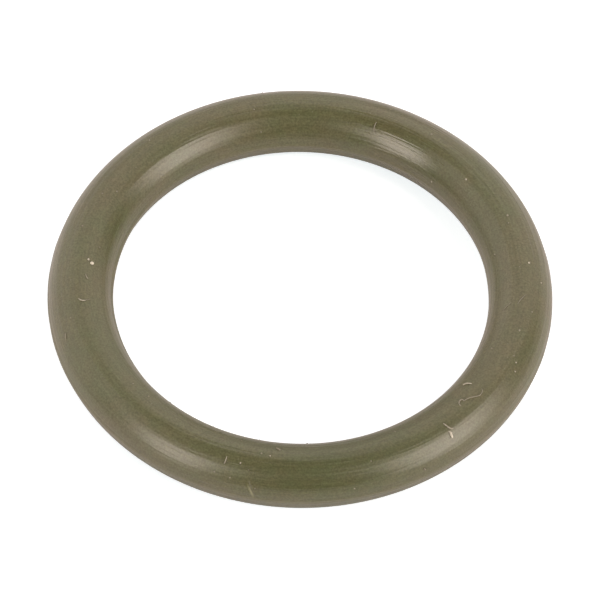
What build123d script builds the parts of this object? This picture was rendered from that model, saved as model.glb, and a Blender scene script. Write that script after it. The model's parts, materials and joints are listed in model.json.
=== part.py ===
"""O-ring: a round cord of rubber moulded as one endless ring, in millimetres.

The ring lies flat with its axis on +Z. The origin is the middle of the hole, on the plane where the two
halves of the mould met. That plane leaves the one feature that breaks the round section, the parting
ridge: a low line of rubber that the mould squeezes out and the trimming leaves standing. It runs right
round the ring twice, inside the hole and round the rim. Its flat crests are the narrowest place of the
hole and the widest place of the ring, so they touch a shaft or a housing first.
"""

import os
from math import asin, degrees

from build123d import *

# Driving dimensions
inner_diameter = 12.0  # across the hole, on the round section
section_diameter = 2.0  # thickness of the round section
inner_ridge_height = 0.06  # the parting ridge stands this far into the hole
outer_ridge_height = 0.03  # and this far out of the rim
ridge_crest_width = 0.1  # flat crest that the trimming leaves, along the axis
ridge_flank_width = 0.08  # each flank spreads this far along the axis, down to the round section

# Places worked out from the driving dimensions
section_radius = section_diameter / 2
section_centre = inner_diameter / 2 + section_radius
inner_crest = section_centre - section_radius - inner_ridge_height
outer_crest = section_centre + section_radius + outer_ridge_height
crest_edge = ridge_crest_width / 2
root_angle = degrees(asin((crest_edge + ridge_flank_width) / section_radius))

os.makedirs("parts", exist_ok=True)

# The round and its flanks are drawn above the parting plane and mirrored below it,
# and the two crests close the outline
with BuildPart() as o_ring:
    with BuildSketch(Plane.XZ) as section:
        with BuildLine() as outline:
            round_top = CenterArc((section_centre, 0), section_radius, root_angle, 180 - 2 * root_angle)
            Line((outer_crest, crest_edge), round_top @ 0)
            Line(round_top @ 1, (inner_crest, crest_edge))
            mirror(about=Plane.XZ)
            Line((outer_crest, -crest_edge), (outer_crest, crest_edge))
            Line((inner_crest, -crest_edge), (inner_crest, crest_edge))
        make_face()
    revolve(axis=Axis.Z)

o_ring.part.label = "o_ring"
export_step(o_ring.part, "parts/o_ring.step")
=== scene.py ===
# %% [markdown]
# An O-ring on a photographer's table
#
# The object is one endless ring of olive-green rubber, moulded in one shot and lying flat. Its solid
# comes from the frame and is never moved or resized. What this script adds is the skin that the real
# ring has: the parting ridge with its uneven trimming, a small nick, satin rubber, and the dust and
# lint that cling to it. Everything is in metres, in the frame's own axes: +Z up, the middle of the hole
# at the origin.

# %% Load the frame
import json
import math

import bpy
import numpy as np
from mathutils import Matrix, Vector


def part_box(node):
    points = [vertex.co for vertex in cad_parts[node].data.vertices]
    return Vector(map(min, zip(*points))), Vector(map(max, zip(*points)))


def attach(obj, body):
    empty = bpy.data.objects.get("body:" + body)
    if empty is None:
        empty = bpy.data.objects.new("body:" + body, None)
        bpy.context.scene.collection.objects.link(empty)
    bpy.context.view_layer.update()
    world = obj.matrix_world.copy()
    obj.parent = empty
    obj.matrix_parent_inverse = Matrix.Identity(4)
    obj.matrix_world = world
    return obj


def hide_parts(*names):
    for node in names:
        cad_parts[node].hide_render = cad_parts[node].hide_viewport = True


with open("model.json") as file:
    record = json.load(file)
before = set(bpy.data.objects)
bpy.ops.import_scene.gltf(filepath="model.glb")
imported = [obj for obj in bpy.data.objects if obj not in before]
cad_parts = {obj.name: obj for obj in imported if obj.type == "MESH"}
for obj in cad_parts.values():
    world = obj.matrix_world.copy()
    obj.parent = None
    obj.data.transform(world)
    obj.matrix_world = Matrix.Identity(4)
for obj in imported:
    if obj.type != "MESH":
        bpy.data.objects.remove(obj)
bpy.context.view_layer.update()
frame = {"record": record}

# %% [markdown]
# The sizes. The frame gives the ring's height and, as the radii of its two seats, the crests of the
# parting ridge inside the hole and round the rim. Two sizes can't be measured on those and are written
# here as they are on the solid: the radius of the circle that the round section is carried along, and
# how far a flank of the ridge spreads before it meets the round.

# %% Sizes
MM = 0.001
ring_low, ring_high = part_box("o_ring")
seats = {mount["name"]: mount["dims"] for mount in frame["record"]["mounts"]}
inner_crest = seats["inner_seat"]["r_mm"] * MM
outer_crest = seats["outer_seat"]["r_mm"] * MM
crest_edge = seats["inner_seat"]["length_mm"] / 2 * MM
section_radius = (ring_high.z - ring_low.z) / 2
section_centre = 7.0 * MM
flank_width = 0.08 * MM
inner_ridge = section_centre - section_radius - inner_crest
outer_ridge = outer_crest - section_centre - section_radius
print(f"section {section_radius / MM:.3f} mm round a {section_centre / MM:.3f} mm circle,")
print(f"ridges {inner_ridge / MM:.3f} mm inside and {outer_ridge / MM:.3f} mm outside")

# %% [markdown]
# The camera. The photograph was taken with a long lens, so the near side of the ring is hardly larger
# than the far side. A camera or lamp that looks at the ring is placed by its azimuth round the ring, its
# height above the table and its distance, so one function serves for both. The ring's centre doesn't
# sit in the middle of the picture, so the camera is moved sideways in its own plane, which leaves the
# perspective as it is.


# %% Camera
def looking_in(azimuth, elevation, distance, roll=0.0):
    """Axes and place of something that looks at the ring's centre, as a 4 x 4 matrix.

    It stands on a sphere of that distance, azimuth degrees from the front towards +X and elevation
    degrees up. Its third axis points back from the ring. Its first is level and its second upright,
    until those two are turned by the roll.
    """
    turn, rise, tilt = np.radians([azimuth, elevation, roll])
    back = np.array([np.sin(turn) * np.cos(rise), -np.cos(turn) * np.cos(rise), np.sin(rise)])
    level = np.array([np.cos(turn), np.sin(turn), 0.0])
    upright = np.cross(back, level)
    placed = np.eye(4)
    placed[:3, 0] = np.cos(tilt) * level + np.sin(tilt) * upright
    placed[:3, 1] = np.cos(tilt) * upright - np.sin(tilt) * level
    placed[:3, 2] = back
    placed[:3, 3] = back * distance
    return placed


IMAGE_PIXELS = 600
SENSOR_WIDTH_MM = 36.0
CAMERA_ELEVATION = 53.6
CAMERA_ROLL = 1.1
CAMERA_DISTANCE = 25 * section_centre
RING_RADIUS_PIXELS = 220.2
RING_CENTRE_PIXEL = np.array([300.25, 294.4])

focal_pixels = RING_RADIUS_PIXELS * CAMERA_DISTANCE / section_centre
camera_place = looking_in(0.0, CAMERA_ELEVATION, CAMERA_DISTANCE, CAMERA_ROLL)
metres_per_pixel = section_centre / RING_RADIUS_PIXELS
off_centre = (RING_CENTRE_PIXEL - IMAGE_PIXELS / 2) * metres_per_pixel
camera_place[:3, 3] += camera_place[:3, 1] * off_centre[1] - camera_place[:3, 0] * off_centre[0]

lens = bpy.data.cameras.new("long_lens")
lens.sensor_width = SENSOR_WIDTH_MM
lens.lens = focal_pixels * SENSOR_WIDTH_MM / IMAGE_PIXELS
camera = bpy.data.objects.new("camera", lens)
camera.matrix_world = Matrix(camera_place.tolist())
bpy.context.scene.collection.objects.link(camera)
bpy.context.scene.camera = camera
print(f"lens of {lens.lens:.0f} mm at {CAMERA_DISTANCE / MM:.0f} mm")

# %% [markdown]
# Meshes from grids. Every surface here is worked out as a grid of points, so one helper turns points and
# faces into a shaded object, and two more number the faces: over a grid that closes on itself both ways,
# as a ring does, and over tubes that close one way and have a flat cap at each end, as a fibre does.


# %% Grid helpers
def closed_grid_faces(rows, columns):
    """Quads between neighbours of a grid whose last row and column meet its first."""
    row, column = np.meshgrid(np.arange(rows), np.arange(columns), indexing="ij")
    next_row, next_column = (row + 1) % rows, (column + 1) % columns
    corners = [row * columns + column, next_row * columns + column]
    corners += [next_row * columns + next_column, row * columns + next_column]
    return np.stack(corners, axis=-1).reshape(-1, 4).tolist()


def capped_tube_faces(tubes, rows, columns):
    """Quads along tubes of rows rings with columns points each, and a cap on both ends of each tube."""
    ring = np.arange(columns)
    start = np.arange(rows - 1)[:, None] * columns
    side = [start + ring, start + (ring + 1) % columns]
    side += [start + columns + (ring + 1) % columns, start + columns + ring]
    sides = np.stack(side, axis=-1).reshape(-1, 4)
    caps = np.stack([ring[::-1], ring + (rows - 1) * columns])
    offsets = np.arange(tubes)[:, None, None] * rows * columns
    all_sides = (sides + offsets).reshape(-1, 4).tolist()
    return all_sides + (caps + offsets).reshape(-1, columns).tolist()


def add_piece(name, points, faces, material):
    """Object at the origin with these points and faces, smooth, in one material."""
    mesh = bpy.data.meshes.new(name)
    mesh.from_pydata(points.reshape(-1, 3), [], faces)
    mesh.polygons.foreach_set("use_smooth", np.ones(len(mesh.polygons), dtype=bool))
    mesh.materials.append(material)
    mesh.update()
    piece = bpy.data.objects.new(name, mesh)
    bpy.context.scene.collection.objects.link(piece)
    print(f"{name}: {len(mesh.vertices)} points, {len(mesh.polygons)} faces")
    return piece


def set_mark(piece, name, amounts):
    """Writes one number for each point of a piece, which its material reads under that name."""
    layer = piece.data.attributes.new(name, "FLOAT", "POINT")
    layer.data.foreach_set("value", np.ascontiguousarray(amounts, dtype=np.float32).ravel())


# %% [markdown]
# Materials are node trees, and these helpers keep them short: one adds a node and sets its sockets, one
# calculates, one mixes two colours by a mask, one reads a smooth noise of a given grain size from the
# piece's own coordinates, one stretches the useful middle of a mask over another range, one makes a mask
# round a spot, one tells how far a place is from the ring's axis, and one starts a material.

# %% Node helpers
# Sockets of the mix node that a mix of colours uses: its share, its two colours and its result
MIX_SHARE, MIX_FIRST, MIX_SECOND, MIX_RESULT = 0, 6, 7, 2


def add_node(tree, kind, sockets=None, **settings):
    """New node of a kind, with its settings and the values or links of its sockets."""
    node = tree.nodes.new(kind)
    for name, value in settings.items():
        setattr(node, name, value)
    for name, value in (sockets or {}).items():
        if isinstance(value, bpy.types.NodeSocket):
            tree.links.new(value, node.inputs[name])
        else:
            node.inputs[name].default_value = value
    return node


def worked_out(tree, operation, *numbers):
    """Result of a calculation with numbers or masks, in the order that the operation takes them."""
    return add_node(tree, "ShaderNodeMath", dict(enumerate(numbers)), operation=operation).outputs[0]


def mixed(tree, mask, first, second):
    """Colour that goes from first to second as the mask goes from 0 to 1."""
    sockets = {MIX_SHARE: mask, MIX_FIRST: first, MIX_SECOND: second}
    return add_node(tree, "ShaderNodeMix", sockets, data_type="RGBA").outputs[MIX_RESULT]


def noise_of(tree, place, grain, detail=2.0):
    """Noise between 0 and 1 whose lumps are about a grain (in metres) across."""
    sockets = {"Vector": place, "Scale": 1 / grain, "Detail": detail}
    return add_node(tree, "ShaderNodeTexNoise", sockets).outputs["Fac"]


def stretched(tree, mask, low, high, to_low=0.0, to_high=1.0):
    """Mask with the range from low to high stretched over to_low to to_high, and cut off outside."""
    sockets = {"Value": mask, "From Min": low, "From Max": high, "To Min": to_low, "To Max": to_high}
    return add_node(tree, "ShaderNodeMapRange", sockets).outputs["Result"]


def near_spot(tree, place, middle, reach, core):
    """Mask that is 1 up to a share (core) of the reach from a middle and fades to 0 at the reach."""
    away = add_node(tree, "ShaderNodeVectorMath", {0: place, 1: middle}, operation="DISTANCE")
    return stretched(tree, away.outputs["Value"], core * reach, reach, 1.0, 0.0)


def from_axis(tree, place):
    """Distance of a place from the ring's axis, and the cosine and sine of its ring angle."""
    x, y, _ = add_node(tree, "ShaderNodeSeparateXYZ", {"Vector": place}).outputs
    flat = add_node(tree, "ShaderNodeCombineXYZ", {"X": x, "Y": y}).outputs["Vector"]
    reach = add_node(tree, "ShaderNodeVectorMath", {0: flat}, operation="LENGTH").outputs["Value"]
    turn = add_node(tree, "ShaderNodeVectorMath", {0: flat}, operation="NORMALIZE").outputs["Vector"]
    cosine, sine, _ = add_node(tree, "ShaderNodeSeparateXYZ", {"Vector": turn}).outputs
    return reach, cosine, sine


def new_material(name):
    """New node material, its tree, and the Principled shader that its output shows."""
    material = bpy.data.materials.new(name)
    material.use_nodes = True
    return material, material.node_tree, material.node_tree.nodes["Principled BSDF"]


# %% [markdown]
# The table is a sheet of white paper. The rubber mirrors it in its lower half, so it is a real surface,
# wide enough to reach the edge of every view. Its own colour is a neutral pale grey. For the eye and for
# reflections a little light of its own lifts it to the paper white of the photograph, and the ring's
# soft shadow stays. What the rubber mirrors of that light is painted light and shade: a painted shadow
# right under the ring, painted light brightest just beside it, dimmer further out, more so in front than
# behind, and painted shade, dimmest, in the hole.

# %% White paper
PAPER_REACH = 1.2
PAPER_COLOUR = (0.72, 0.72, 0.72, 1.0)
PAPER_GLOW_SEEN = (0.62, 0.68, 0.71, 1.0)
# Painted shadow: the mirrored glow right under the ring is dark
PAPER_GLOW_SHADOW_UNDER = (0.06, 0.05, 0.06, 1.0)
PAPER_GLOW_BESIDE = (0.50, 0.41, 0.45, 1.0)
PAPER_GLOW_FRONT = (0.34, 0.27, 0.27, 1.0)
PAPER_GLOW_BEHIND = (0.43, 0.37, 0.39, 1.0)
# Painted shade: the mirrored glow is dimmest in the hole
PAPER_GLOW_SHADE_HOLE = (0.24, 0.19, 0.20, 1.0)
# How far from the circle under the section one glow passes into the next
UNDER_TO_BESIDE = np.array([0.9, 1.3]) * section_radius
BESIDE_TO_OPEN = np.array([1.35, 2.2]) * section_radius

paper, tree, shader = new_material("white_paper")
tree.nodes.remove(shader)
spot = add_node(tree, "ShaderNodeTexCoord").outputs["Object"]
spot_reach, _, _ = from_axis(tree, spot)
spot_depth = add_node(tree, "ShaderNodeSeparateXYZ", {"Vector": spot}).outputs["Y"]
apart = worked_out(tree, "ABSOLUTE", worked_out(tree, "SUBTRACT", spot_reach, section_centre))
behind = stretched(tree, spot_depth, -outer_crest, outer_crest)
outside = stretched(tree, spot_reach, inner_crest, outer_crest)
mirrored = mixed(tree, behind, PAPER_GLOW_FRONT, PAPER_GLOW_BEHIND)
mirrored = mixed(tree, outside, PAPER_GLOW_SHADE_HOLE, mirrored)
mirrored = mixed(tree, stretched(tree, apart, *BESIDE_TO_OPEN), PAPER_GLOW_BESIDE, mirrored)
mirrored = mixed(tree, stretched(tree, apart, *UNDER_TO_BESIDE), PAPER_GLOW_SHADOW_UNDER, mirrored)
path = add_node(tree, "ShaderNodeLightPath").outputs
glow = mixed(tree, path["Is Camera Ray"], mirrored, PAPER_GLOW_SEEN)
shown = worked_out(tree, "MAXIMUM", path["Is Glossy Ray"], path["Is Transmission Ray"])
shown = worked_out(tree, "MAXIMUM", shown, path["Is Camera Ray"])
matt = add_node(tree, "ShaderNodeBsdfDiffuse", {"Color": PAPER_COLOUR})
lit = add_node(tree, "ShaderNodeEmission", {"Color": glow, "Strength": shown})
both = add_node(tree, "ShaderNodeAddShader", {0: matt.outputs[0], 1: lit.outputs[0]})
tree.links.new(both.outputs[0], tree.nodes["Material Output"].inputs["Surface"])

corners = np.array([[-1, -1], [1, -1], [1, 1], [-1, 1]]) * PAPER_REACH
paper_points = np.c_[corners, np.full(4, ring_low.z)]
sheet = add_piece("paper_sheet", paper_points, [(0, 1, 2, 3)], paper)

# %% [markdown]
# The light. The soft patches on the ring are two softboxes, each mirrored once on the outside of the
# ring and once on the inside of its far side. Reflecting the line of sight at those patches tells where
# the boxes stood and how large they look from the ring: a tall one to the right, which leans, and a
# narrower one to the left, nearly upright. The far side also mirrors a lit wall that curves round
# behind, here three panels side by side, the outer two leaning. Overhead and behind the camera the room
# is dark, which leaves the crown of the ring deep olive. A lamp's energy comes from how bright its face
# is, so that a box of another size would keep its brightness.

# %% Softboxes and room
# Azimuth from the front, elevation and lean in degrees, spread across and up in degrees, brightness
SOFTBOXES = {
    "softbox_right": (62.5, 31.0, -13.0, (36.0, 54.0), 5.5),
    "softbox_left": (-49.5, 30.0, 4.0, (24.0, 46.0), 5.75),
    "wall_right": (150.0, 32.0, -21.0, (50.0, 76.0), 1.26),
    "wall_middle": (197.0, 14.0, 0.0, (44.0, 58.0), 0.80),
    "wall_left": (246.0, 25.0, 12.0, (56.0, 78.0), 1.33),
}
SOFTBOX_DISTANCE = 0.5
LAMP_COLOUR = (1.0, 0.88, 0.80)
ROOM_COLOUR = (0.01, 0.01, 0.01, 1.0)

for name, (azimuth, elevation, lean, spread, brightness) in SOFTBOXES.items():
    width, tall = 2 * SOFTBOX_DISTANCE * np.tan(np.radians(spread) / 2)
    lamp = bpy.data.lights.new(name, "AREA")
    lamp.shape = "RECTANGLE"
    lamp.size = width
    lamp.size_y = tall
    lamp.energy = brightness * math.pi * width * tall
    lamp.color = LAMP_COLOUR
    stand = bpy.data.objects.new(name, lamp)
    stand.matrix_world = Matrix(looking_in(azimuth, elevation, SOFTBOX_DISTANCE, lean).tolist())
    stand.visible_camera = False
    bpy.context.scene.collection.objects.link(stand)
    print(f"{name}: {width:.2f} x {tall:.2f} m, {lamp.energy:.2f} W")

room = bpy.data.worlds.new("dim_room")
room.use_nodes = True
room.node_tree.nodes["Background"].inputs["Color"].default_value = ROOM_COLOUR
bpy.context.scene.world = room
bpy.context.scene.view_settings.view_transform = "Standard"

# %% [markdown]
# Lines round the ring. The cutter that made the mould left fine lines that run round the ring, and its
# polishing left wider bands. A pattern that follows the ring needs coordinates that follow it. The
# distance from the axis and the height say where a point is across the section, and the cosine and sine
# of the ring angle say where it is along the ring, so a noise of those four numbers closes with no seam.

# %% Coordinates that follow the ring
LINE_DETAIL = 3.0


def ring_lines(tree, place, spacing, run):
    """Noise of lines along the ring, spacing apart and about run long (both in metres).

    Its four coordinates are the distance from the axis and the height, in spacings, and the cosine and
    sine of the ring angle, in runs.
    """
    reach, cosine, sine = from_axis(tree, place)
    height = add_node(tree, "ShaderNodeSeparateXYZ", {"Vector": place}).outputs["Z"]
    finer = run / spacing / section_centre
    across = worked_out(tree, "MULTIPLY", reach, finer)
    upward = worked_out(tree, "MULTIPLY", height, finer)
    followed = add_node(tree, "ShaderNodeCombineXYZ", {"X": across, "Y": upward, "Z": cosine})
    sockets = {"Vector": followed.outputs["Vector"], "W": sine}
    sockets |= {"Scale": section_centre / run, "Detail": LINE_DETAIL}
    return add_node(tree, "ShaderNodeTexNoise", sockets, noise_dimensions="4D").outputs["Fac"]


# %% [markdown]
# Olive rubber. The colour of the moulded rubber is an olive that drifts slowly between green and brown,
# with small mossy and rusty patches, a fine grain, darker fine lines and a few pale specks of filler.
# The front is greener and darker. Where the ridge was trimmed the rubber is a little paler. On the gentle
# wall of the nick a pale colour is a painted highlight. Each of these is a mask worked out from places on
# the ring itself, so the finish is whole from every side, and the colours are laid over one another by
# the masks.

# %% Patterns in the rubber
DRIFT_GRAIN = 2.2 * MM
PATCH_GRAIN = 0.40 * MM
MOTTLE_GRAIN = 0.11 * MM
FINE_GRAIN = 0.06 * MM
NOISE_MIDDLE = (0.35, 0.65)
LINE_SPACING = 0.06 * MM
LINE_RUN = 1.8 * MM
BAND_SPACING = 0.17 * MM
BAND_RUN = 7.0 * MM

rubber, tree, shader = new_material("olive_rubber")
place = add_node(tree, "ShaderNodeTexCoord").outputs["Object"]
drift = stretched(tree, noise_of(tree, place, DRIFT_GRAIN), *NOISE_MIDDLE)
patch = stretched(tree, noise_of(tree, place, PATCH_GRAIN), *NOISE_MIDDLE)
mottle = noise_of(tree, place, MOTTLE_GRAIN, detail=3.0)
grain = noise_of(tree, place, FINE_GRAIN, detail=1.0)
lines = ring_lines(tree, place, LINE_SPACING, LINE_RUN)
bands = ring_lines(tree, place, BAND_SPACING, BAND_RUN)
nick_highlight = add_node(tree, "ShaderNodeAttribute", attribute_name="nick_highlight").outputs["Fac"]
trimmed = add_node(tree, "ShaderNodeAttribute", attribute_name="trimmed").outputs["Fac"]
print("olive_rubber:", len(tree.nodes), "nodes for its patterns")

# %% Colour of the rubber
OLIVE_GREEN = (0.144, 0.161, 0.072, 1.0)
OLIVE_BROWN = (0.171, 0.161, 0.083, 1.0)
OLIVE_FRONT = (0.110, 0.130, 0.055, 1.0)
OLIVE_MOSS = (0.102, 0.140, 0.058, 1.0)
OLIVE_RUST = (0.165, 0.135, 0.065, 1.0)
OLIVE_SHADE = (0.042, 0.043, 0.016, 1.0)
OLIVE_PALE = (0.165, 0.165, 0.095, 1.0)
# Pale painted highlight on the gentle wall of the nick
OLIVE_NICK_HIGHLIGHT = (0.36, 0.36, 0.23, 1.0)
OLIVE_TRIMMED = (0.17, 0.16, 0.10, 1.0)
FILLER_PALE = (0.15, 0.15, 0.09, 1.0)
# Where the rubber is greener and darker, at the front
FRONT_MIDDLE = np.array([1.2, -7.2, 0.7]) * MM
FRONT_REACH = 4.8 * MM
FRONT_CORE = 0.2
PATCH_SHARE = 0.25
TRIMMED_SHARE = 0.25
# The range of a noise that is used, and the shares of colour that its two ends give
MOTTLE_SHARES = (0.30, 0.75, 0.0, 0.08)
GRAIN_SHARES = (0.28, 0.72, 0.70, 0.20)
LINE_SHARES = (0.40, 0.62, 0.20, 0.0)
# A speck fades between two distances from its middle, in filler spacings
FILLER_SPACING = 0.42 * MM
SPECK_SHARES = (0.03, 0.07, 1.0, 0.0)

front_share = near_spot(tree, place, FRONT_MIDDLE, FRONT_REACH, FRONT_CORE)
olive = mixed(tree, drift, OLIVE_GREEN, OLIVE_BROWN)
olive = mixed(tree, front_share, olive, OLIVE_FRONT)
olive = mixed(tree, PATCH_SHARE, olive, mixed(tree, patch, OLIVE_MOSS, OLIVE_RUST))
olive = mixed(tree, stretched(tree, mottle, *MOTTLE_SHARES), olive, OLIVE_PALE)
olive = mixed(tree, stretched(tree, grain, *GRAIN_SHARES), olive, OLIVE_SHADE)
olive = mixed(tree, stretched(tree, lines, *LINE_SHARES), olive, OLIVE_SHADE)
cells = add_node(tree, "ShaderNodeTexVoronoi", {"Vector": place, "Scale": 1 / FILLER_SPACING})
speck = stretched(tree, cells.outputs["Distance"], *SPECK_SHARES)
olive = mixed(tree, speck, olive, FILLER_PALE)
olive = mixed(tree, worked_out(tree, "MULTIPLY", trimmed, TRIMMED_SHARE), olive, OLIVE_TRIMMED)
olive = mixed(tree, nick_highlight, olive, OLIVE_NICK_HIGHLIGHT)
tree.links.new(olive, shader.inputs["Base Color"])
print("olive_rubber:", len(tree.nodes), "nodes with its colour")

# %% [markdown]
# Gloss and relief. Moulded rubber is satin, because its skin copies the polish of the mould. Fine lines
# and bands are rougher in places and stand out by about a hundredth of a millimetre at most, too little
# to be worth a mesh, so they are a bump. They break the highlights into streaks that follow the ring.
# The nick's gentle wall is rougher, and one stretch of the hole's far wall was rubbed smoother, so it
# mirrors its lamp more sharply.

# %% Gloss and relief of the rubber
HOLE_ROUGHNESS = 0.225
RIM_ROUGHNESS = 0.22
LINE_ROUGHNESS = 0.12
BAND_ROUGHNESS = 0.14
NICK_WALL_ROUGHNESS = 0.20
RUBBED_ROUGHNESS = -0.09
RUBBED_MIDDLE = np.array([3.3, 5.3, 0.7]) * MM
RUBBED_REACH = 2.4 * MM
RUBBED_CORE = 0.4
RUBBER_IOR = 1.64
GRAIN_HEIGHT = 0.0015 * MM
LINE_RELIEF = 6.0
BAND_RELIEF = 18.0

axis_reach, _, _ = from_axis(tree, place)
hole_side, rim_side = section_centre - section_radius, section_centre + section_radius
rubbed = near_spot(tree, place, RUBBED_MIDDLE, RUBBED_REACH, RUBBED_CORE)
roughness = stretched(tree, axis_reach, hole_side, rim_side, HOLE_ROUGHNESS, RIM_ROUGHNESS)
roughness = worked_out(tree, "MULTIPLY_ADD", lines, LINE_ROUGHNESS, roughness)
roughness = worked_out(tree, "MULTIPLY_ADD", bands, BAND_ROUGHNESS, roughness)
roughness = worked_out(tree, "MULTIPLY_ADD", nick_highlight, NICK_WALL_ROUGHNESS, roughness)
roughness = worked_out(tree, "MULTIPLY_ADD", rubbed, RUBBED_ROUGHNESS, roughness)
tree.links.new(roughness, shader.inputs["Roughness"])
shader.inputs["IOR"].default_value = RUBBER_IOR

relief = worked_out(tree, "ADD", mottle, grain)
relief = worked_out(tree, "MULTIPLY_ADD", lines, LINE_RELIEF, relief)
relief = worked_out(tree, "MULTIPLY_ADD", bands, BAND_RELIEF, relief)
bump = add_node(tree, "ShaderNodeBump", {"Height": relief, "Distance": GRAIN_HEIGHT})
tree.links.new(bump.outputs["Normal"], shader.inputs["Normal"])
print("olive_rubber:", len(tree.nodes), "nodes in all")

# %% [markdown]
# Places on the skin. What lies on the ring, or is cut into it, is placed where the photograph shows it:
# a ray leaves the camera through that pixel and walks on by its distance from the ring until it meets
# the skin. What counts afterwards is where it met: an angle along the ring and an angle round its
# section. From those two angles any point on the skin, and which way is out, follows, so the place is
# right from every side and not only from the camera.

# %% Places on the skin
RAY_STEPS = 60


def ring_under(pixels):
    """Ring angle and section angle of the skin that the photograph shows at these pixels.

    Each ray steps on by its distance from the round section: the length from the circle of section
    centres, less the section's radius.
    """
    right, up, back, eye = camera_place[:3].T
    aim = (np.asarray(pixels, dtype=float) - IMAGE_PIXELS / 2) / focal_pixels
    ray = -back + aim[..., :1] * right - aim[..., 1:] * up
    ray /= np.linalg.norm(ray, axis=-1, keepdims=True)
    point = np.broadcast_to(eye, ray.shape)
    for _ in range(RAY_STEPS):
        reach = np.linalg.norm(point[..., :2], axis=-1)
        gap = np.hypot(reach - section_centre, point[..., 2]) - section_radius
        point = point + ray * gap[..., None]
    reach = np.linalg.norm(point[..., :2], axis=-1)
    ring = np.arctan2(point[..., 1], point[..., 0])
    return ring, np.arctan2(point[..., 2], reach - section_centre)


def skin_place(ring, section, lift=0.0):
    """Point of the skin at a ring angle and a section angle, lifted outwards, and its three axes.

    The axes point along the ring, round the section and out of the skin.
    """
    spoke = np.stack([np.cos(ring), np.sin(ring), np.zeros_like(ring)], axis=-1)
    level = np.cos(section)
    out = np.stack([level * np.cos(ring), level * np.sin(ring), np.sin(section)], axis=-1)
    along = np.stack([-np.sin(ring), np.cos(ring), np.zeros_like(ring)], axis=-1)
    around = np.cross(along, out)
    lifted = out * np.expand_dims(section_radius + lift, -1)
    return spoke * section_centre + lifted, along, around, out


NICK_ENDS = np.array([[247.8, 480.4], [255.1, 496.6]])
nick_ring, nick_section = ring_under(NICK_ENDS)
print("nick along the ring from and to, in degrees:", np.degrees(nick_ring).round(1))
print("nick round the section from and to, in degrees:", np.degrees(nick_section).round(1))

# %% [markdown]
# The ring's skin. The solid in the frame is faceted, so the ring is drawn again as a fine grid: the
# outline of its section, carried round the circle of section centres. The outline is the round, with a
# crest and two flanks at the rim and again in the hole. On the real ring the squeezed-out rubber was
# trimmed, closer on the right than on the left, so the ridge wanders in height. At the front the skin
# has a small nick. It is a real groove, pressed into the grid, whose columns stand closer there.

# %% Outline of the section
UPPER_STEPS = 70
LOWER_STEPS = 36
CREST_SPOTS = np.array([-1.0, -0.8, 0.0, 0.8, 1.0])
root_angle = math.asin((crest_edge + flank_width) / section_radius)


def section_outline():
    """Radial offset, height and section angle of the outline, from the rim's crest up and over.

    Each round runs from the root of one ridge to the root of the other, and each crest is a short
    upright. Two masks say which points are on the rim's crest and which are on the hole's.
    """
    upper = np.linspace(root_angle, np.pi - root_angle, UPPER_STEPS)
    lower = np.linspace(np.pi + root_angle, 2 * np.pi - root_angle, LOWER_STEPS)
    crest = CREST_SPOTS * crest_edge
    level = np.full(len(crest), section_radius)
    offset = np.r_[level, section_radius * np.cos(upper), -level, section_radius * np.cos(lower)]
    height = np.r_[crest, section_radius * np.sin(upper), -crest, section_radius * np.sin(lower)]
    spot = np.arange(len(offset))
    on_rim = spot < len(crest)
    in_hole = (spot >= len(crest) + UPPER_STEPS) & (spot < 2 * len(crest) + UPPER_STEPS)
    return offset, height, np.arctan2(height, offset), on_rim, in_hole


offset, height, section_angle, on_rim, in_hole = section_outline()
print(f"{len(offset)} points round the section, flanks start {math.degrees(root_angle):.2f} degrees up")

# %% Uneven trimming
# Share of the ridge left standing, how much less stands towards +X, waves round the ring, seed
RIM_TRIM = (0.72, 0.22, (2, 5, 11, 23, 41), 3)
HOLE_TRIM = (0.58, 0.38, (2, 3, 7, 13), 4)
TRIM_WANDER = 0.3


def uneven(ring, waves, seed):
    """Mean of sines that fit round the ring a whole number of times, each from its own start."""
    start = np.random.default_rng(seed).uniform(0, 2 * np.pi, len(waves))
    return np.sin(np.multiply.outer(ring, waves) + start).mean(axis=-1)


def left_standing(ring, share, less, waves, seed):
    """Share of the ridge that the trimming left: less of it towards +X, wandering, from none to all."""
    return np.clip(share - less * np.cos(ring) + TRIM_WANDER * uneven(ring, waves, seed), 0, 1)


# %% Nick
NICK_DEPTH = 0.04 * MM
NICK_WIDE_WALL = 0.10 * MM
NICK_STEEP_WALL = 0.035 * MM
NICK_LIP = 0.006 * MM
# Middle and spread of the lip, in widths of its wall from the nick's line
LIP_MIDDLE = 1.3
LIP_SPREAD = 0.3
# Painted highlight across the wall: where it is strongest, in widths, how strong, and its fall in each
# width
HIGHLIGHT_MIDDLE = 0.5
HIGHLIGHT_PEAK = 1.2
HIGHLIGHT_FALL = 2.4
# Painted highlight along the nick: its share halfway, and what it gains from there to the lower end
HIGHLIGHT_HALFWAY = 0.5
HIGHLIGHT_GROWTH = 0.6


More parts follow.
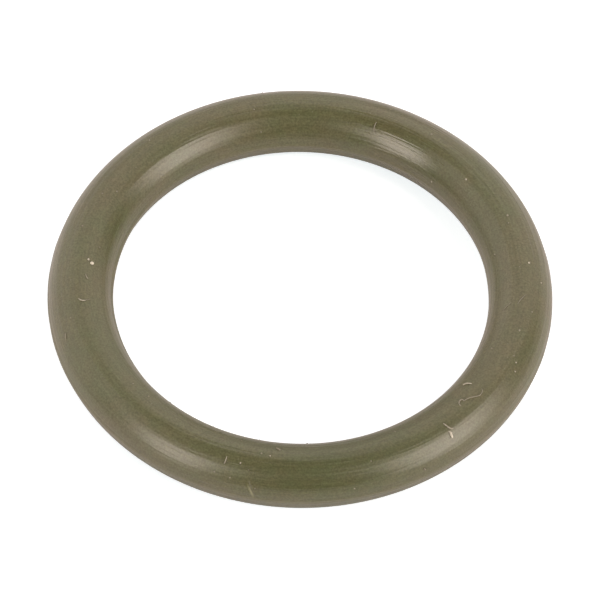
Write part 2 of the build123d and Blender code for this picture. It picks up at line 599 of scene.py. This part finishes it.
def nick(ring, section):
    """How far the nick is pressed in, and its share of painted highlight.

    Across the nick one wall falls gently to a line and the other rises steeply from it, with a low lip
    of pushed-up rubber on both shores. Along it the depth fades as one less the square of the way from
    its middle. The gentle wall gets a pale painted highlight, more so towards the lower end.
    """
    stretch = np.array([section_centre + section_radius, section_radius])
    ends = np.stack([nick_ring, nick_section], axis=-1) * stretch
    run = ends[1] - ends[0]
    step = run / np.linalg.norm(run)
    away = np.stack(np.broadcast_arrays(ring, section), axis=-1) * stretch - ends.mean(axis=0)
    way = away @ step / (np.linalg.norm(run) / 2)
    fade = np.clip(1 - way**2, 0, None)
    side = away @ np.array([-step[1], step[0]])
    share = np.where(side > 0, side / NICK_STEEP_WALL, -side / NICK_WIDE_WALL)
    groove = NICK_DEPTH * np.clip(1 - share, 0, None)
    lip = NICK_LIP * np.exp(-(((share - LIP_MIDDLE) / LIP_SPREAD) ** 2))
    across = np.clip(HIGHLIGHT_PEAK - np.abs(share - HIGHLIGHT_MIDDLE) * HIGHLIGHT_FALL, 0, 1) * (side < 0)
    lengthwise = np.clip(HIGHLIGHT_HALFWAY + HIGHLIGHT_GROWTH * way, 0, 1)
    return (groove - lip) * fade, across * fade * lengthwise


# %% Ring skin
RING_STEPS = 720
NICK_STEPS = 72
NICK_REACH = 0.45 * MM

even_angle = np.linspace(-np.pi, np.pi, RING_STEPS, endpoint=False)
nick_span = NICK_REACH / (section_centre + section_radius)
close_angle = nick_ring.mean() + np.linspace(-1, 1, NICK_STEPS) * nick_span
off_nick = np.abs(even_angle - nick_ring.mean()) > nick_span
ring_angle = np.sort(np.r_[even_angle[off_nick], close_angle])[:, None]

rim_height = outer_ridge * left_standing(ring_angle, *RIM_TRIM)
hole_height = inner_ridge * left_standing(ring_angle, *HOLE_TRIM)
pressed, nick_highlit = nick(ring_angle, section_angle)
ridged = section_centre + offset + on_rim * rim_height - in_hole * hole_height
reach = ridged - pressed * np.cos(section_angle)
rise = height - pressed * np.sin(section_angle)
skin_points = np.stack([reach * np.cos(ring_angle), reach * np.sin(ring_angle), rise], axis=-1)
skin = add_piece("ring_skin", skin_points, closed_grid_faces(*reach.shape), rubber)
# The nick's painted highlight, one share for each point
set_mark(skin, "nick_highlight", nick_highlit)
set_mark(skin, "trimmed", np.broadcast_to(on_rim | in_hole, reach.shape))
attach(skin, "root")
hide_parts("o_ring")
print(f"ridge stands {rim_height.min() / MM:.3f} to {rim_height.max() / MM:.3f} mm out of the rim")

# %% [markdown]
# Dust and lint take their finish from one idea: a pale stuff, never quite one colour, that is darker
# where it is thin or dirty. The two materials share it as a node group with named sockets. It mixes two
# colours by a noise and by how pale that speck is, which each mesh carries as an attribute of its own.

# %% Pale stuff, as a shared node group
PALE_SOCKETS = {
    "Place": "NodeSocketVector",
    "Paleness": "NodeSocketFloat",
    "Scale": "NodeSocketFloat",
    "Clean": "NodeSocketColor",
    "Dirty": "NodeSocketColor",
}
# The range of the noise that is used, and the shares of paleness that its two ends leave
PALE_SHARES = (0.3, 0.7, 0.7, 1.0)
DIRTY_COLOUR = (0.11, 0.10, 0.06, 1.0)

pale_stuff = bpy.data.node_groups.new("pale_stuff", "ShaderNodeTree")
for name, kind in PALE_SOCKETS.items():
    pale_stuff.interface.new_socket(name, in_out="INPUT", socket_type=kind)
pale_stuff.interface.new_socket("Colour", in_out="OUTPUT", socket_type="NodeSocketColor")
given = pale_stuff.nodes.new("NodeGroupInput").outputs
patches = add_node(pale_stuff, "ShaderNodeTexNoise", {"Vector": given["Place"], "Scale": given["Scale"]})
patches = stretched(pale_stuff, patches.outputs["Fac"], *PALE_SHARES)
cleanness = worked_out(pale_stuff, "MULTIPLY", patches, given["Paleness"])
colour = mixed(pale_stuff, cleanness, given["Dirty"], given["Clean"])
handed_out = pale_stuff.nodes.new("NodeGroupOutput")
pale_stuff.links.new(colour, handed_out.inputs["Colour"])


def pale_material(name, clean, patch, roughness):
    """Material of pale stuff: its colour where it is clean, size of its patches in metres, roughness."""
    material, tree, shader = new_material(name)
    place = add_node(tree, "ShaderNodeTexCoord").outputs["Object"]
    paleness = add_node(tree, "ShaderNodeAttribute", attribute_name="paleness").outputs["Fac"]
    group = add_node(tree, "ShaderNodeGroup", node_tree=pale_stuff)
    tree.links.new(place, group.inputs["Place"])
    tree.links.new(paleness, group.inputs["Paleness"])
    group.inputs["Scale"].default_value = 1 / patch
    group.inputs["Clean"].default_value = clean
    group.inputs["Dirty"].default_value = DIRTY_COLOUR
    tree.links.new(group.outputs["Colour"], shader.inputs["Base Color"])
    shader.inputs["Roughness"].default_value = roughness
    print(name, "uses", pale_stuff.name)
    return material


# %% [markdown]
# Dust grains. They are crumbs of a tenth of a millimetre and less. Those that the photograph shows lie
# where it shows them. It doesn't show the sides that face away, so a thin scatter of small ones lies
# there, since all of the ring was in the same room. A grain is a small closed lump: rings of points from
# pole to pole, each point pushed in or out a little. It is sunk by a third of its height, so it sits on
# the rubber from every side.

# %% Lumps for the dust
GRAIN_ROWS = 6
GRAIN_COLUMNS = 9
# Angle of the first and last ring of points from its pole, and range of the radius, in shares
GRAIN_POLE = 0.25
GRAIN_UNEVEN = (0.8, 1.2)
# Height and sinking of a lump, in shares of its width and of its height
GRAIN_FLATNESS = 0.7
GRAIN_SINK = 0.35
DUST_SEED = 12
chance = np.random.default_rng(DUST_SEED)


def grain_points(ring, section, width):
    """Lumps on the skin: a sphere's rings from pole to pole, each point 20 % in or out, flattened.

    Each lump is half its width in radius along the ring and round the section, less high, and sunk.
    """
    count = len(width)
    polar = np.linspace(GRAIN_POLE, np.pi - GRAIN_POLE, GRAIN_ROWS)[None, :, None]
    turn = np.linspace(0, 2 * np.pi, GRAIN_COLUMNS, endpoint=False)[None, None, :]
    radius = width[:, None, None] / 2 * chance.uniform(*GRAIN_UNEVEN, (count, GRAIN_ROWS, GRAIN_COLUMNS))
    local = [radius * np.sin(polar) * np.cos(turn), radius * np.sin(polar) * np.sin(turn)]
    local.append(radius * np.cos(polar) * GRAIN_FLATNESS)
    lift = width / 2 * GRAIN_FLATNESS * (1 - 2 * GRAIN_SINK)
    middle, *axes = skin_place(ring, section, lift)
    shape = middle[:, None, None, :]
    for way, axis in zip(local, axes):
        shape = shape + way[..., None] * axis[:, None, None, :]
    return shape


# %% Dust grains
# Across and down in the photograph, width in millimetres, paleness
SEEN_GRAINS = np.array(
    [
        (92.0, 263.5, 0.122, 0.85), (88.5, 259.5, 0.075, 0.62), (70.5, 318.0, 0.045, 0.22),
        (82.5, 226.0, 0.070, 0.16), (99.5, 247.5, 0.050, 0.16), (149.5, 140.5, 0.060, 0.31),
        (117.0, 191.5, 0.050, 0.25), (102.5, 193.5, 0.050, 0.22), (254.0, 109.5, 0.050, 0.31),
        (261.0, 132.0, 0.050, 0.19), (390.5, 109.5, 0.050, 0.23), (431.5, 134.5, 0.055, 0.28),
        (432.0, 181.5, 0.065, 0.42), (466.0, 179.5, 0.070, 0.45), (507.5, 215.5, 0.060, 0.34),
        (508.5, 223.0, 0.050, 0.25), (495.0, 254.5, 0.055, 0.28), (529.0, 263.0, 0.070, 0.62),
        (541.0, 283.0, 0.060, 0.37), (519.5, 267.0, 0.045, 0.19), (532.0, 312.0, 0.050, 0.25),
        (519.5, 330.5, 0.065, 0.31), (491.5, 348.5, 0.060, 0.22), (516.0, 362.5, 0.060, 0.34),
        (515.0, 371.5, 0.060, 0.31), (514.0, 356.0, 0.055, 0.16), (424.5, 469.0, 0.090, 0.16),
        (371.0, 461.0, 0.045, 0.22), (395.0, 432.0, 0.045, 0.22), (354.5, 488.5, 0.050, 0.25),
        (414.5, 482.5, 0.045, 0.22), (240.5, 463.0, 0.065, 0.28), (248.5, 470.0, 0.045, 0.12),
        (270.0, 456.0, 0.060, 0.31), (261.5, 453.5, 0.050, 0.22), (241.5, 441.0, 0.045, 0.16),
        (214.5, 471.5, 0.055, 0.19), (230.0, 477.5, 0.050, 0.19), (148.5, 396.5, 0.050, 0.22),
        (133.0, 384.0, 0.050, 0.22), (255.0, 488.5, 0.040, 0.16),
    ]
)
STRAY_GRAINS = 220
STRAY_WIDTHS = (0.03, 0.07)
STRAY_PALENESS = (0.08, 0.3)
# How far below the parting plane stray grains may lie, in radians, and the cosine of facing away
STRAY_MARGIN = 0.3
FACES_AWAY = -0.05
DUST_CLEAN = (0.86, 0.82, 0.70, 1.0)
DUST_PATCH = 0.03 * MM
DUST_ROUGHNESS = 0.8

seen_ring, seen_section = ring_under(SEEN_GRAINS[:, :2])
stray_ring = chance.uniform(-np.pi, np.pi, STRAY_GRAINS)
stray_section = chance.uniform(-STRAY_MARGIN, np.pi + STRAY_MARGIN, STRAY_GRAINS)
unseen = skin_place(stray_ring, stray_section)[3] @ camera_place[:3, 2] < FACES_AWAY
grain_ring = np.r_[seen_ring, stray_ring[unseen]]
grain_section = np.r_[seen_section, stray_section[unseen]]
grain_width = np.r_[SEEN_GRAINS[:, 2], chance.uniform(*STRAY_WIDTHS, STRAY_GRAINS)[unseen]] * MM
grain_pale = np.r_[SEEN_GRAINS[:, 3], chance.uniform(*STRAY_PALENESS, STRAY_GRAINS)[unseen]]

dust = pale_material("dust", DUST_CLEAN, DUST_PATCH, DUST_ROUGHNESS)
lumps = grain_points(grain_ring, grain_section, grain_width)
lump_faces = capped_tube_faces(len(lumps), GRAIN_ROWS, GRAIN_COLUMNS)
grains = add_piece("dust_grains", lumps, lump_faces, dust)
set_mark(grains, "paleness", np.repeat(grain_pale, GRAIN_ROWS * GRAIN_COLUMNS))
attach(grains, "root")

# %% [markdown]
# Lint. These are short fibres of cloth and paper, thinner than a hair, that lie on the rubber in loose
# curves. Each follows a few points picked on the photograph: a polynomial through the points gives a
# smooth line across the picture, the line is laid on the skin, and a thin tube that tapers at both ends
# is carried along it. A slight arch lifts the middle of a fibre off the rubber, as a springy fibre does,
# and its ends touch.

# %% Tubes for the lint
FIBRE_STEPS = 17
FIBRE_SIDES = 8
# Where a tube ends, in halves of its curve, power of its taper, and its rest above the skin, in radii
FIBRE_TIP = 0.97
FIBRE_TAPER = 0.25
FIBRE_REST = 0.6


def smooth_line(points):
    """Pixels along a polynomial that passes through every point, evenly in its parameter."""
    knots = np.linspace(-1, 1, len(points))
    curve = np.polynomial.polynomial.polyfit(knots, np.array(points), len(points) - 1)
    return np.polynomial.polynomial.polyval(np.linspace(-1, 1, FIBRE_STEPS), curve).T


def fibre_points(pixels, thickness, arch):
    """Tubes along lines of pixels on the skin, round in section, tapered to both ends.

    The radius follows the fourth root of one less the square of the way from the middle. A tube's middle
    line lies six tenths of its radius above the skin, so that it is pressed in a little, and is lifted
    by the arch, which fades in the same square.
    """
    ring, section = ring_under(pixels)
    way = np.linspace(-FIBRE_TIP, FIBRE_TIP, FIBRE_STEPS)
    radius = thickness[:, None] / 2 * (1 - way**2) ** FIBRE_TAPER
    lift = FIBRE_REST * radius + arch[:, None] * (1 - way**2)
    middle, _, _, out = skin_place(ring, section, lift)
    ahead = np.gradient(middle, axis=1)
    ahead /= np.linalg.norm(ahead, axis=-1, keepdims=True)
    side = np.cross(ahead, out)
    turn = np.linspace(0, 2 * np.pi, FIBRE_SIDES, endpoint=False)[:, None]
    spokes = np.cos(turn) * side[:, :, None, :] + np.sin(turn) * out[:, :, None, :]
    return middle[:, :, None, :] + radius[:, :, None, None] * spokes


# %% Lint fibres
# Points across and down in the photograph, thickness and arch in millimetres, paleness
LINT = {
    "arched_fibre": ([(463.1, 385.3), (466.6, 384.1), (471.8, 383.9)], 0.050, 0.010, 0.45),
    "curly_fibre": ([(463.9, 401.2), (470.6, 397.9), (476.9, 396.5), (480.8, 394.4)], 0.036, 0.008, 0.22),
    "curly_end": ([(463.9, 401.2), (461.0, 400.2), (459.0, 403.0), (461.0, 405.9)], 0.044, 0.006, 0.22),
    "curly_tip": ([(480.4, 395.0), (482.2, 391.6), (481.5, 388.6)], 0.030, 0.004, 0.15),
    "hooked_fibre": ([(443.3, 423.4), (447.1, 426.6), (450.5, 428.5), (453.4, 428.0)], 0.046, 0.008, 0.36),
    "crumb_top": ([(448.5, 431.6), (450.4, 432.2), (452.2, 433.2)], 0.046, 0.000, 0.42),
    "crumb_body": ([(450.2, 432.4), (451.1, 435.0), (452.2, 437.8)], 0.082, 0.000, 0.74),
    "flake": ([(78.4, 298.6), (80.6, 300.2), (83.0, 300.9), (85.4, 300.4)], 0.044, 0.006, 0.38),
    "flake_tail": ([(85.0, 300.5), (87.4, 299.9), (90.0, 299.4)], 0.028, 0.004, 0.18),
    "left_hair": ([(85.5, 274.2), (86.4, 277.0), (88.2, 279.1)], 0.034, 0.005, 0.28),
    "left_smear": ([(66.2, 332.8), (65.8, 336.0), (66.3, 340.0)], 0.036, 0.003, 0.20),
    "front_hair": ([(226.9, 456.6), (225.8, 460.2), (224.2, 463.8)], 0.040, 0.006, 0.26),
    "front_flake": ([(276.0, 448.4), (278.2, 449.6), (280.4, 450.6)], 0.060, 0.003, 0.18),
    "far_fibre": ([(376.4, 122.2), (374.4, 127.4), (374.4, 132.4)], 0.034, 0.010, 0.24),
    "right_hair": ([(517.6, 304.2), (521.4, 299.0), (526.4, 294.4)], 0.026, 0.003, 0.19),
    "right_wisp": ([(503.6, 310.8), (507.0, 306.4), (511.0, 302.8)], 0.024, 0.002, 0.17),
}
LINT_CLEAN = (0.88, 0.84, 0.72, 1.0)
LINT_PATCH = 0.08 * MM
LINT_ROUGHNESS = 0.7

lint_lines = np.stack([smooth_line(points) for points, *_ in LINT.values()])
lint_thick, lint_arch, lint_pale = np.array([sizes for _, *sizes in LINT.values()]).T
tubes = fibre_points(lint_lines, lint_thick * MM, lint_arch * MM)
lint = pale_material("lint", LINT_CLEAN, LINT_PATCH, LINT_ROUGHNESS)
tube_faces = capped_tube_faces(len(tubes), FIBRE_STEPS, FIBRE_SIDES)
fibres = add_piece("lint_fibres", tubes, tube_faces, lint)
set_mark(fibres, "paleness", np.repeat(lint_pale, FIBRE_STEPS * FIBRE_SIDES))
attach(fibres, "root")
